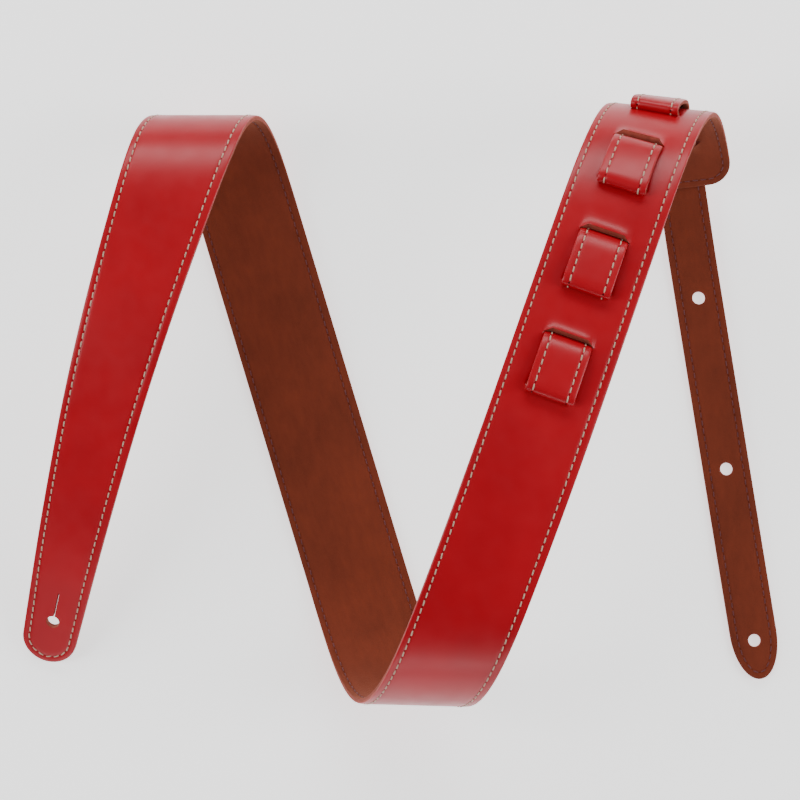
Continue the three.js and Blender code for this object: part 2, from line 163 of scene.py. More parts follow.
class StageSizes(bpy.types.PropertyGroup):
    distance: length_property("Distance", "Camera from the floor", 1.576)
    lens: FloatProperty(name="Lens", description="Focal length in millimetres", default=137.8)
    tilt: FloatProperty(name="Tilt", description="Camera's tilt from straight down",
                        default=math.radians(1.77), subtype="ANGLE")
    floor: length_property("Floor", "Half the floor's side", 3.0)
    floor_glow: FloatProperty(name="Floor glow", description="Light that the pale floor gives off",
                              default=1.2, min=0.0)


# ---- Folding ----

class Fold:
    STEPS = 400

    def __init__(self, start, end, lean, turn, ease):
        self.middle = (start + end) / 2
        self.reach = (end - start) / 2
        self.side = 1 if self.middle > FLAT_AT else -1
        self.cos = math.cos(math.radians(lean))
        self.sin = math.sin(math.radians(lean))
        share = np.linspace(0, 1, self.STEPS + 1)
        eased = share + ease * np.sin(2 * math.pi * (share - 0.5)) / (2 * math.pi)
        self.angles = math.radians(turn) * eased
        half = (self.angles[1:] + self.angles[:-1]) / 2
        step = (end - start) / self.STEPS
        self.steps = share * (end - start)
        self.alongs = np.concatenate(([0], np.cumsum(np.cos(half) * step)))
        self.drops = np.concatenate(([0], np.cumsum(np.sin(half) * step)))

    def roll(self, point, u, v):
        """Rolls a point of the strap, whose place on the flat strap is u, v, round this fold."""
        x, y, z = point
        rolled = self.side * ((u - self.middle) * self.cos - v * self.sin) + self.reach
        rolled = np.clip(rolled, 0, 2 * self.reach)
        angle = np.interp(rolled, self.steps, self.angles)
        along = np.interp(rolled, self.steps, self.alongs)
        drop = np.interp(rolled, self.steps, self.drops)
        across = (x - self.middle) * self.sin + y * self.cos
        ahead = self.side * ((x - self.middle) * self.cos - y * self.sin) - (rolled - self.reach)
        out = self.side * (along - self.reach + ahead * np.cos(angle) + z * np.sin(angle))
        return (
            self.middle + out * self.cos + across * self.sin,
            across * self.cos - out * self.sin,
            -drop - ahead * np.sin(angle) + z * np.cos(angle),
        )

    def line(self, u, v=0.0):
        """The point, at v, of the fold line that crosses the strap's middle at u."""
        return u + v * self.sin / self.cos, v


folds = [Fold(*row) for row in FOLDS]
# A fold nearer the flat length carries the ones beyond it, so the farthest are rolled first.
FARTHEST_FIRST = sorted(folds, key=lambda fold: -abs(fold.middle - FLAT_AT))
ALONG = np.array((math.sin(FLAT_HEADING), -math.cos(FLAT_HEADING), 0))
ACROSS = np.array((-math.cos(FLAT_HEADING), -math.sin(FLAT_HEADING), 0))
OUT = np.array((0, 0, -1))


def folded(points):
    """Where points u, v, h of the flat strap end up in the folded strap."""
    u, v, h = np.asarray(points, float).reshape(-1, 3).T
    point = (u, v, h)
    for fold in FARTHEST_FIRST:
        point = fold.roll(point, u, v)
    x, y, z = point
    return FLAT_PLACE + np.outer(x - FLAT_AT, ALONG) + np.outer(y, ACROSS) + np.outer(z, OUT)


def smoothstep(low, high, value):
    share = np.clip((np.asarray(value, float) - low) / (high - low), 0, 1)
    return share * share * (3 - 2 * share)


def bend_line(name, fold):
    """Start and end, in the folded strap, of the stretch that bends at a fold's joint."""
    first, last = BENDS[name]
    ends = folded([(*fold.line(first), 0), (*fold.line(last), 0)])
    sides = folded([(*fold.line(first, v), 0) for v in (-0.01, 0.01)])
    ruling = (sides[1] - sides[0]) / np.linalg.norm(sides[1] - sides[0])
    way = ends[1] - ends[0]
    return Vector(ends[0]), Vector(ends[0] + way - (way @ ruling) * ruling)


# ---- Layers: leather or lining, as rows of points round the flat strip ----

BAND = 0.006  # width of the edge band, whose lines follow the outline
INTERIOR = np.array((-16.5, -14.4, -13.2, -12.5, -11.2, -9, -6, -3, 0,
                     3, 6, 9, 11.2, 12.5, 13.2, 14.4, 16.5)) / 19.4
TAIL_BAND = 0.005
TAIL_INTERIOR = np.array((-0.6, -0.2, 0.2, 0.6))
GLUED = 0.00003  # half the hair line between leather and lining
FACE, EDGE = 0, 1  # material places on a piece
SHARP_ANGLE = math.radians(38)
ROW_STEP = 0.0018  # between the rows of a strip
FINE_ROW_STEP = 0.0008  # where the tail winds through the slits
RIM_FLARE = 0.0003  # rounding of a hole's rim


class Row:
    """A line across a strip, at u. at(side, inset) is where its edges are."""

    def __init__(self, u, at):
        self.u = u
        self.at = at


def edge_profile(seam_inset, band, half, groove):
    """Inset and height of the points round an edge, and how many of them lie on the face."""
    face = [(band, half)]
    groove_shape = ((1.3, 0.03), (0.7, 0.3), (0.35, 0.75), (0, 1), (-0.35, 0.75), (-0.7, 0.3), (-1.2, 0.08))
    for off, share in groove_shape:
        face.append((seam_inset + off * MM, half - share * groove))
    for inset, drop in ((1.0, 0), (0.5, 0.03), (0.22, 0.09), (0.07, 0.22), (0, 0.42)):
        face.append((inset * MM, half - drop * MM))
    pressed = [(inset, height - 0.0002 * max(1 - inset / 0.003, 0) ** 2) for inset, height in face]
    wall = [(0.0, half * 0.45), (0.00004, half * 0.2), (0.00014, GLUED), (band, GLUED)]
    return pressed + wall, len(face)


def near_slit(ladder, u):
    """The number of the slit nearest to u, and its place."""
    number = np.clip(np.round((u - ladder.first) / ladder.pitch), 0, ladder.count - 1)
    return number.astype(int), ladder.first + number * ladder.pitch


def bent_lips(points, after, ladder):
    """Bends the slits' lips. after is 1 for points past their slit and -1 for points before it."""
    u, v, h = points.T
    number, place = near_slit(ladder, u)
    near = np.clip(1 - np.abs(u - place) / ladder.lip_length, 0, 1)
    parted = smoothstep(0, 0.0042, ladder.half_width - np.abs(v))
    # The tail comes out at even slits, counted from 0, and goes in at odd ones.
    comes_out = number % 2 == 0
    over_tail = np.where(comes_out, after < 0, after > 0)
    rise = np.where(comes_out, ladder.lip_rise * 0.3, ladder.lip_rise)
    amount = np.where(over_tail, rise, -ladder.lip_sink) * parted
    angle = np.arctan(2 * amount * near / ladder.lip_length)
    drawn = ladder.opening * parted ** 1.6 * near ** 2
    return np.stack((u + after * (drawn + h * np.sin(angle)), v, amount * near ** 2 + h * np.cos(angle)), 1)


def layer(rows, interior, profile, side_up, ends, ladder=None):
    """Points, faces and materials of one closed layer.

    profile(row, side) gives an edge's points. ends says what the first and last rows are: "cut" is a flat
    cut, "round" has both edges meeting in the row, and "square" is an edge of its own.
    """
    count, inside = len(rows), len(interior)
    left_edge, on_face = profile(rows[0], 1)
    edge = len(left_edge)
    around = 2 * (inside + edge)
    points = np.zeros((count, around, 3))
    for r, row in enumerate(rows):
        left, right = profile(row, 1)[0], profile(row, -1)[0]
        inner_left, inner_right = np.array(row.at(1, left[0][0])), np.array(row.at(-1, right[0][0]))
        across = (inner_left + inner_right) / 2 + np.outer(interior, (inner_left - inner_right) / 2)
        line = [(*point, left[0][1]) for point in across]
        line += [(*row.at(1, inset), height) for inset, height in left]
        line += [(*point, GLUED) for point in across[::-1]]
        line += [(*row.at(-1, inset), height) for inset, height in reversed(right)]
        points[r] = line
    under = {j: 2 * inside + edge - 1 - j for j in range(inside)}

    index = np.arange(count * around).reshape(count, around)
    before = index.copy()  # the points that the quads before a row use
    flat = points.reshape(-1, 3)
    slit_columns, slit_rows = [], []
    if ladder:
        slit_columns = [j for j in range(inside) if abs(points[0, j, 1]) < ladder.half_width - 1e-5]
        columns = slit_columns + [under[j] for j in slit_columns]
        for r, row in enumerate(rows):
            if abs(row.u - near_slit(ladder, row.u)[1]) < 1e-6:
                slit_rows.append(r)
                before[r, columns] = np.arange(len(flat), len(flat) + len(columns))
                flat = np.concatenate((flat, points[r, columns]))
        after = np.where(flat[:, 0] > near_slit(ladder, flat[:, 0])[1] - 1e-6, 1, -1)
        after[count * around:] = -1

    faces, finishes = [], []
    walls = set(range(inside + on_face - 1, inside + edge - 1))
    walls |= {2 * inside + 2 * edge - 2 - k for k in range(on_face - 1, edge - 1)}
    for r in range(count - 1):
        for j in range(around):
            k = (j + 1) % around
            faces.append((index[r, j], index[r, k], before[r + 1, k], before[r + 1, j]))
            finishes.append(EDGE if j in walls else FACE)
    for r in slit_rows:
        lip = [slit_columns[0] - 1, *slit_columns, slit_columns[-1] + 1]
        for used in (before, index):
            for a, b in zip(lip, lip[1:]):
                faces.append((used[r, a], used[r, b], used[r, under[b]], used[r, under[a]]))
                finishes.append(EDGE)
    for r, end in ((0, ends[0]), (count - 1, ends[1])):
        if end == "cut":
            for j in range(inside - 1):
                faces.append((index[r, j], index[r, j + 1], index[r, under[j + 1]], index[r, under[j]]))
            faces.append(tuple(index[r, inside - 1:inside + edge + 1]))
            faces.append((*index[r, 2 * inside + edge - 1:], index[r, 0]))
            finishes += [EDGE] * (inside + 1)
    if ends[1] == "square":
        # The edge band along the square end, between its two round corners.
        last = rows[-1]
        tip = last.at(1, 0)[0]
        end_edge = profile(last, 1)[0]
        columns = [last.at(-1, 0)[1], *points[-1, :inside, 1], last.at(1, 0)[1]]
        grid = np.arange(len(flat), len(flat) + len(columns) * edge).reshape(len(columns), edge)
        more = [(tip - inset, v, height) for v in columns for inset, height in end_edge]
        flat = np.concatenate((flat, more))
        for j in range(len(columns) - 1):
            for k in range(edge - 1):
                faces.append((grid[j, k], grid[j + 1, k], grid[j + 1, k + 1], grid[j, k + 1]))
                finishes.append(EDGE if k >= on_face - 1 else FACE)
        if ladder:
            after = np.concatenate((after, np.ones(len(more), int)))
    flat = flat * (1, 1, side_up)
    return (bent_lips(flat, after, ladder) if ladder else flat), faces, finishes


def even_rows(start, end, step, kept=()):
    """Places from start to end, with the kept ones among them and a thin row beside each end."""
    thin = 0.0001
    inner = [u for u in np.linspace(start, end, max(int((end - start) / step), 1) + 1)[1:-1]
             if all(abs(u - place) > step / 2 for place in kept)]
    inner += [u for u in kept if start + 2 * thin < u < end - 2 * thin]
    return [start, start + thin, *sorted(inner), end - thin, end]


# ---- Making pieces ----

def solid_object(name, points, faces, finishes, materials):
    mesh = bpy.data.meshes.new(name)
    mesh.from_pydata([tuple(point) for point in points], [], [tuple(map(int, face)) for face in faces])
    for material in materials:
        mesh.materials.append(material)
    mesh.polygons.foreach_set("material_index", finishes)
    work = bmesh.new()
    work.from_mesh(mesh)
    bmesh.ops.remove_doubles(work, verts=work.verts, dist=2e-6)
    bmesh.ops.recalc_face_normals(work, faces=work.faces)
    work.to_mesh(mesh)
    work.free()
    obj = bpy.data.objects.new(name, mesh)
    bpy.context.scene.collection.objects.link(obj)
    return obj


def punched(obj, tools):
    """Cuts the tools out of a piece and throws them away."""
    for tool in tools:
        cutter = obj.modifiers.new("punch", "BOOLEAN")
        cutter.operation = "DIFFERENCE"
        cutter.solver = "EXACT"
        cutter.object = tool
        cutter.material_mode = "TRANSFER"
    apply_modifiers(obj)
    for tool in tools:
        bpy.data.objects.remove(tool)


def apply_modifiers(obj):
    bpy.context.view_layer.update()
    made = obj.evaluated_get(bpy.context.evaluated_depsgraph_get())
    mesh = bpy.data.meshes.new_from_object(made, preserve_all_data_layers=True,
                                           depsgraph=bpy.context.evaluated_depsgraph_get())
    obj.modifiers.clear()
    obj.data = mesh
    mesh.name = obj.name


def punch(name, at, radius, half, flare, material):
    """A round punch whose ends flare, which leaves the hole's rims rounded."""
    levels = ((-half - 0.002, radius + flare), (-half + 0.00001, radius + flare), (-half + flare, radius),
              (half - flare, radius), (half - 0.00001, radius + flare), (half + 0.002, radius + flare))
    sides = 40
    points = [(at[0] + wide * math.cos(turn), at[1] + wide * math.sin(turn), height)
              for height, wide in levels
              for turn in np.linspace(0, 2 * math.pi, sides, endpoint=False)]
    faces = [(a * sides + b, a * sides + (b + 1) % sides, (a + 1) * sides + (b + 1) % sides,
              (a + 1) * sides + b) for a in range(len(levels) - 1) for b in range(sides)]
    faces += [tuple(range(sides)), tuple(range((len(levels) - 1) * sides, len(levels) * sides))]
    return solid_object(name, points, faces, [0] * len(faces), [material])


def blade(name, start, end, width, half, material):
    """A knife for a straight slit along the strap, with a pointed end."""
    side = width / 2
    outline = ((start, -side), (end - 0.0015, -side), (end, 0), (end - 0.0015, side), (start, side))
    points = [(u, v, height) for height in (-half - 0.002, half + 0.002) for u, v in outline]
    faces = [(0, 1, 2, 3, 4), (5, 6, 7, 8, 9)]
    faces += [(i, (i + 1) % 5, 5 + (i + 1) % 5, 5 + i) for i in range(5)]
    return solid_object(name, points, faces, [0] * len(faces), [material])


def fold_piece(obj, laid=None):
    """Folds a flat piece, which keeps its flat place for its materials. laid lays the tail on its way."""
    mesh = obj.data
    flat = np.empty(len(mesh.vertices) * 3)
    mesh.vertices.foreach_get("co", flat)
    flat = flat.reshape(-1, 3)
    stored = mesh.attributes.new("flat_place", "FLOAT_VECTOR", "POINT")
    stored.data.foreach_set("vector", flat.astype(np.float32).ravel())
    mesh.vertices.foreach_set("co", folded(laid(flat) if laid else flat).ravel())
    mesh.polygons.foreach_set("use_smooth", [True] * len(mesh.polygons))
    mesh.update()
    mesh.set_sharp_from_angle(angle=SHARP_ANGLE)


def follow(obj, bodies, bend, nodes):
    """The piece rides on one body, or, lying between two, has its place baked into its mesh."""
    if len(bodies) == 1:
        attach(obj, bodies[0])
    else:
        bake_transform(obj)
    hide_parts(*nodes)


# ---- Main strap ----

# Each length of the main strap: its body or the two it bends between, from, to, and its two ends.
NEAR_FROM, NEAR_TO = CUTS["near"]
TROUGH_FROM, TROUGH_TO = CUTS["trough"]
STRAP_PIECES = {
    "button_end": (("button_end",), 0.0, NEAR_FROM, ("round", "cut")),
    "near_crest": (("button_end", "middle_span"), NEAR_FROM, NEAR_TO, ("cut", "cut")),
    "middle_span": (("middle_span",), NEAR_TO, TROUGH_FROM, ("cut", "cut")),
    "trough": (("middle_span", "ladder_span"), TROUGH_FROM, TROUGH_TO, ("cut", "cut")),
    "ladder_span": (("ladder_span",), TROUGH_TO, CUTS["far"], ("cut", "cut")),
    "end_flap": (("ladder_span", "end_flap"), CUTS["far"], 1.2, ("cut", "square")),
}
BEND_OF = {"near_crest": "near", "trough": "trough", "end_flap": "far", "crest_tail": "far"}
FOLD_OF = {"near": NEAR_FOLD, "trough": TROUGH_FOLD, "far": FAR_FOLD}
# The CAD's lengths are named after its bodies, so a piece stands for those of its own bodies.
STANDS_FOR = {name: bodies for name, (bodies, *_) in STRAP_PIECES.items()}
LAYERS = {"leather": 1, "lining": -1}


def bend_for(name, way=None):
    """Where a piece between two bodies starts and ends to bend. way is the tail's, for its last bend."""
    if name == "tail_bend":
        lengths = [way.length_at(u) for u in TAIL_BENDS]
        return [Vector(end) for end in folded(way.laid([(length, 0, 0) for length in lengths]))]
    bend = BEND_OF.get(name)
    return bend_line(bend, folds[FOLD_OF[bend]]) if bend else None


def strap_half_width(u, sizes):
    share = np.clip((u - sizes.tip_radius) / (sizes.taper_length - sizes.tip_radius), 0, 1)
    return sizes.tip_radius + (sizes.width / 2 - sizes.tip_radius) * share


def seam_inset(u, side, seam, sizes):
    """The seam runs at its edge's own inset, and at the common one round the ends."""
    own = seam.left if side > 0 else seam.right
    along = smoothstep(0.016, 0.06, u) * (1 - smoothstep(sizes.length - 0.05, sizes.length - 0.0125, u))
    return seam.end + (own - seam.end) * float(along)


def strap_rows(start, end, ends, sizes, ladder):
    def straight(u):
        def at(side, inset):
            return u, side * (strap_half_width(u, sizes) - inset)
        return Row(u, at)

    def tip(angle):
        radius = sizes.tip_radius

        def at(side, inset):
            return (radius - (radius - inset) * math.cos(angle),
                    side * (radius - inset) * math.sin(angle))
        return Row(0, at)

    def corner(angle):
        radius = sizes.corner_radius
        middle = sizes.width / 2 - radius

        def at(side, inset):
            return (sizes.length - radius + (radius - inset) * math.sin(angle),
                    side * (middle + (radius - inset) * math.cos(angle)))
        return Row(sizes.length, at)

    lips = [slit + side * off * MM for slit in slit_places(ladder)
            for off in (0, 0.5, 1.2, 2.2, 3.6, 5.4, 7.4) for side in ((1, -1) if off else (1,))]
    rows = []
    if ends[0] == "round":
        rows = [tip(angle) for angle in np.linspace(0, math.pi / 2, 13)[:-1]]
        start = sizes.tip_radius
    corners = []
    if ends[1] == "square":
        corners = [corner(angle) for angle in np.linspace(0, math.pi / 2, 11)[1:]]
        end = sizes.length - sizes.corner_radius
    return rows + [straight(u) for u in even_rows(start, end, ROW_STEP, lips)] + corners


def slit_places(ladder):
    return [ladder.first + i * ladder.pitch for i in range(ladder.count)]


class STRAP_OT_main_strap(bpy.types.Operator):
    """Make the main strap's leather and lining, with its button hole, key slit and ladder of slits"""
    bl_idname = "strap.main_strap"
    bl_label = "Main Strap"

    def execute(self, context):
        scene = context.scene
        sizes, ladder, seam = scene.strap_sizes, scene.ladder_sizes, scene.seam_sizes
        looks = {"leather": leather_materials(), "lining": suede_materials()}
        half = sizes.thickness / 2

        def profile(row, side):
            return edge_profile(seam_inset(row.u, side, seam, sizes), BAND, half, seam.groove)

        for name, (bodies, start, end, ends) in STRAP_PIECES.items():
            end = min(end, sizes.length)
            rows = strap_rows(start, end, ends, sizes, ladder)
            slits_here = any(start < slit < end for slit in slit_places(ladder))
            for kind, side_up in LAYERS.items():
                made = layer(rows, INTERIOR, profile, side_up, ends, ladder if slits_here else None)
                piece = solid_object(f"{name}_{kind}", *made, looks[kind])
                if name == "button_end":
                    edge = looks[kind][EDGE]
                    radius = sizes.hole_diameter / 2
                    punched(piece, [
                        punch("punch", (sizes.hole_at, 0), radius, half, RIM_FLARE, edge),
                        blade("blade", sizes.hole_at, sizes.key_slit_end, sizes.key_slit_width, half, edge),
                    ])
                fold_piece(piece)
                nodes = [f"{body}_{kind}" for body in STANDS_FOR[name]]
                follow(piece, bodies, bend_for(name), nodes)
        return {"FINISHED"}


# ---- Tail ----

TAIL_PIECES = {
    "woven_tail": (("ladder_span",), None, CUTS["far"], ("cut", "cut")),
    "crest_tail": (("ladder_span", "end_flap"), CUTS["far"], TAIL_CUTS[0], ("cut", "cut")),
    "tail_bend": (("end_flap", "tail"), TAIL_CUTS[0], TAIL_CUTS[1], ("cut", "cut")),
    "tail": (("tail",), TAIL_CUTS[1], None, ("cut", "round")),
}
TAIL_STANDS_FOR = {
    "woven_tail": ("woven_tail",),
    "crest_tail": ("woven_tail", "crest_tail"),
    "tail_bend": ("tail_bend",),
    "tail": ("tail",),
}
# The tail's way through a slit, in millimetres past the slit and over the strap's middle.
COMING_OUT = ((-7, -3.2), (-2.6, -3.1), (0.3, -2.1), (1.2, -0.2), (0.7, 1.6), (-1.1, 3.1), (-2.2, 4.5),
              (-1.4, 5.9), (1.0, 6.5), (5.5, 6.2))
GOING_IN = ((-12, 5.3), (-6.5, 4.5), (-2.9, 3.1), (-0.9, 1.0), (0.3, -1.0), (2.3, -2.7), (6, -3.2))
COMING_OUT_LAST = ((-7, -3.2), (-2.6, -3.1), (0.2, -2.0), (1.2, 0.0), (2.6, 2.2), (5.2, 3.9), (8.6, 4.6))


class TailWay:
    """The tail's middle line through the slits, as u and height by its own length."""
    STEP = 0.0004

    def __init__(self, tail, ladder):
        slits = slit_places(ladder)
        stops = [(tail.start, -tail.inside)]
        for i, slit in enumerate(slits):
            shape = GOING_IN if i % 2 else (COMING_OUT_LAST if i == len(slits) - 1 else COMING_OUT)
            stops += [(slit + along * MM, height * MM) for along, height in shape]
        end = tail.first_hole + (tail.hole_count - 1) * tail.hole_pitch + tail.beyond
        stops += [(slits[-1] + 0.014, tail.outside), (slits[-1] + 0.03, tail.outside), (end, tail.outside)]
        self.line = self.smooth(np.array(stops))
        steps = np.linalg.norm(np.diff(self.line, axis=0), axis=1)
        self.lengths = np.concatenate(([0], np.cumsum(steps)))
        self.long = float(self.lengths[-1])
        direction = np.gradient(self.line, self.lengths, axis=0)
        direction /= np.linalg.norm(direction, axis=1)[:, None]
        self.normals = np.stack((-direction[:, 1], direction[:, 0]), axis=1)

    def smooth(self, stops):
        """A curve through the stops, with each stop's direction taken from its neighbours."""
        gaps = np.linalg.norm(np.diff(stops, axis=0), axis=1)
        slopes = np.zeros_like(stops)
        slopes[1:-1] = (stops[2:] - stops[:-2]) / (gaps[1:] + gaps[:-1])[:, None]
        slopes[0], slopes[-1] = (1, 0), (1, 0)
        line = []
        for i, gap in enumerate(gaps):
            t = np.linspace(0, 1, max(int(gap / self.STEP), 2), endpoint=False)[:, None]
            line.append((2 * t ** 3 - 3 * t ** 2 + 1) * stops[i]
                        + (t ** 3 - 2 * t ** 2 + t) * slopes[i] * gap
                        + (3 * t ** 2 - 2 * t ** 3) * stops[i + 1]
                        + (t ** 3 - t ** 2) * slopes[i + 1] * gap)
        return np.concatenate((*line, stops[-1:]))

    def length_at(self, u):
        """The tail's own length where it last passes u."""
        return float(self.lengths[np.nonzero(self.line[:, 0] < u)[0][-1]])

    def laid(self, points):
        """Points of the straight tail, by length, v and h, laid on its way over the flat strap."""
        s, v, h = np.asarray(points, float).T
        at = [np.interp(s, self.lengths, self.line[:, i]) for i in (0, 1)]
        out = [np.interp(s, self.lengths, self.normals[:, i]) for i in (0, 1)]
        u = at[0] + out[0] * h
        swing = smoothstep(SWING_FROM, TAIL_CUTS[0], u) * (u - SWING_ABOUT) * SWING
        return np.stack((u, v + swing, at[1] + out[1] * h), axis=1)


def tail_rows(start, end, ends, tail, step):
    half = tail.width / 2

    def straight(s):
        def at(side, inset):
            return s, side * (half - inset)
        return Row(s, at)

    def point(angle):
        def at(side, inset):
            return (end - tail.point + (tail.point - inset) * math.sin(angle),
                    side * (half - inset) * math.cos(angle))
        return Row(end, at)

    if ends[1] == "round":
        places = even_rows(start, end - tail.point, step)
        return [straight(s) for s in places] + [point(turn) for turn in np.linspace(0, math.pi / 2, 19)[1:]]
    return [straight(s) for s in even_rows(start, end, step)]


class STRAP_OT_tail(bpy.types.Operator):
    """Make the tail's leather and lining, woven through the slits, with its three holes"""
    bl_idname = "strap.tail"
    bl_label = "Woven Tail"

    def execute(self, context):
        scene = context.scene
        tail, seam = scene.tail_sizes, scene.seam_sizes
        way = TailWay(tail, scene.ladder_sizes)
        looks = {"leather": leather_materials(), "lining": suede_materials()}
        half = tail.thickness / 2
        radius = scene.strap_sizes.hole_diameter / 2

        def profile(row, side):
            return edge_profile(seam.end, TAIL_BAND, half, seam.groove)

        for name, (bodies, first, last, ends) in TAIL_PIECES.items():
            start = way.length_at(first) if first else 0.0
            end = way.length_at(last) if last else way.long
            step = FINE_ROW_STEP if name in ("woven_tail", "crest_tail") else ROW_STEP
            rows = tail_rows(start, end, ends, tail, step)
            for kind, side_up in LAYERS.items():
                made = layer(rows, TAIL_INTERIOR, profile, side_up, ends)
                piece = solid_object(f"{name}_{kind}", *made, looks[kind])
                if name == "tail":
                    holes = [way.long - tail.beyond - i * tail.hole_pitch for i in range(tail.hole_count)]
                    punched(piece, [punch(f"punch_{i}", (at, 0), radius, half, RIM_FLARE, looks[kind][EDGE])
                                    for i, at in enumerate(holes)])
                fold_piece(piece, way.laid)
                nodes = [f"{node}_{kind}" for node in TAIL_STANDS_FOR[name]]
                follow(piece, bodies, bend_for(name, way), nodes)
        return {"FINISHED"}


# ---- Stitching ----

SEAM_STEP = 0.0005  # between the points of a seam's line
NEEDLE_HOLE_RADIUS = 0.00046
HOLE_RISE = 0.00003  # a needle hole's mouth stands above the groove by this
UNEVENNESS, SEED = 0.03, 7  # of the stitches' lean and size
# Each thread: the side it lies on, its size and colour, a stitch's length and its lean.
THREADS = {
    "top_thread": (1, "thread", 0.00331, math.radians(5)),
    "back_thread": (-1, "bobbin", 0.00305, math.radians(-4)),
}


def strap_seam(sizes, seam):
    """The main strap's seam, once round its outline, as u, v."""
    straight = np.arange(sizes.tip_radius, sizes.length - sizes.corner_radius, SEAM_STEP)
    turn = np.linspace(0, math.pi / 2, 30)[1:-1]
    corner_from = sizes.length - sizes.corner_radius
    corner_side = sizes.width / 2 - sizes.corner_radius
    corner_radius, tip_radius = sizes.corner_radius - seam.end, sizes.tip_radius - seam.end

    def edge(side):
        line = [(u, side * (strap_half_width(u, sizes) - seam_inset(u, side, seam, sizes)))
                for u in straight]
        tip = [(sizes.tip_radius - tip_radius * math.cos(a), side * tip_radius * math.sin(a)) for a in turn]
        corner = [(corner_from + corner_radius * math.sin(a),
                   side * (corner_side + corner_radius * math.cos(a))) for a in turn]
        return tip + line + corner

    return np.array([*edge(1), *edge(-1)[::-1], edge(1)[0]])


def tail_seam(tail, seam, way):
    """The tail's seam, up one edge, round the point and down the other, as length, v."""
    offset = tail.width / 2 - seam.end
    straight = [(s, offset) for s in np.arange(seam.end, way.long - tail.point, SEAM_STEP)]
    tip = [(way.long - tail.point + (tail.point - seam.end) * math.sin(a), offset * math.cos(a))
           for a in np.linspace(0, math.pi, 80)]
    return np.array([*straight, *tip, *[(s, -v) for s, v in reversed(straight)]])


def spaced(line, pitch):
    """Places along a line, half a stitch and whole stitches from its start: middles, then holes."""
    lengths = np.concatenate(([0], np.cumsum(np.linalg.norm(np.diff(line, axis=0), axis=1))))
    count = round(lengths[-1] / pitch)
    step = lengths[-1] / count

    def at(places):
        return np.stack([np.interp(places, lengths, line[:, i]) for i in (0, 1)], axis=1)

    return at((np.arange(count) + 0.5) * step), at(np.arange(count) * step)


def turned_mesh(name, rings):
    """A closed mesh of rings of points round the X axis, with the thread's turns as its UV map."""
    sides = len(rings[0])
    points = [point for ring in rings for point in ring]
    faces = [(a * sides + b, (a + 1) * sides + b, (a + 1) * sides + (b + 1) % sides,
              a * sides + (b + 1) % sides) for a in range(len(rings) - 1) for b in range(sides)]
    faces += [tuple(range(sides)), tuple(reversed(range((len(rings) - 1) * sides, len(rings) * sides)))]
    mesh = bpy.data.meshes.new(name)
    mesh.from_pydata(points, [], faces)
    turns = mesh.uv_layers.new(name="thread_turns")
    for face in mesh.polygons:
        face.use_smooth = True
        around = [(loop, mesh.loops[loop].vertex_index % sides) for loop in face.loop_indices]
        wraps = {place for _, place in around} == {0, sides - 1}
        for loop, place in around:
            length = mesh.loops[loop].vertex_index // sides
            turn = (sides if wraps and place == 0 else place) / sides
            turns.data[loop].uv = (length / (len(rings) - 1), turn)
    work = bmesh.new()
    work.from_mesh(mesh)
    bmesh.ops.recalc_face_normals(work, faces=work.faces)
    work.to_mesh(mesh)
    work.free()
    return bpy.data.objects.new(name, mesh)


def stitch_shape(name, length, thickness):
    """One stitch: it rises out of a needle hole, lies along the seam and dives into the next."""
    sides, count = 8, 9
    rings = []
    for along in np.linspace(-1, 1, count):
        lift = thickness * (0.34 - 0.95 * abs(along) ** 5)
        wide = thickness / 2 * (1.0 - 0.38 * abs(along) ** 4)
        rings.append([(along * length / 2, wide * math.cos(a), lift + 0.8 * wide * math.sin(a))
                      for a in np.linspace(0, 2 * math.pi, sides, endpoint=False)])
    return turned_mesh(name, rings)


def needle_hole_shape(name, radius):
    """The dark mouth of a needle hole, a shallow dish pressed into the leather; its darkness is painted
    shade for the inside of the hole.
    """
    levels = ((-0.00022, 0.3), (-0.00005, 1.0), (0.00005, 0.86), (-0.00002, 0.45), (-0.00008, 0.12))
    rings = [[(radius * share * math.cos(a), radius * share * math.sin(a), height)
              for a in np.linspace(0, 2 * math.pi, 10, endpoint=False)] for height, share in levels]
    return turned_mesh(name, rings)


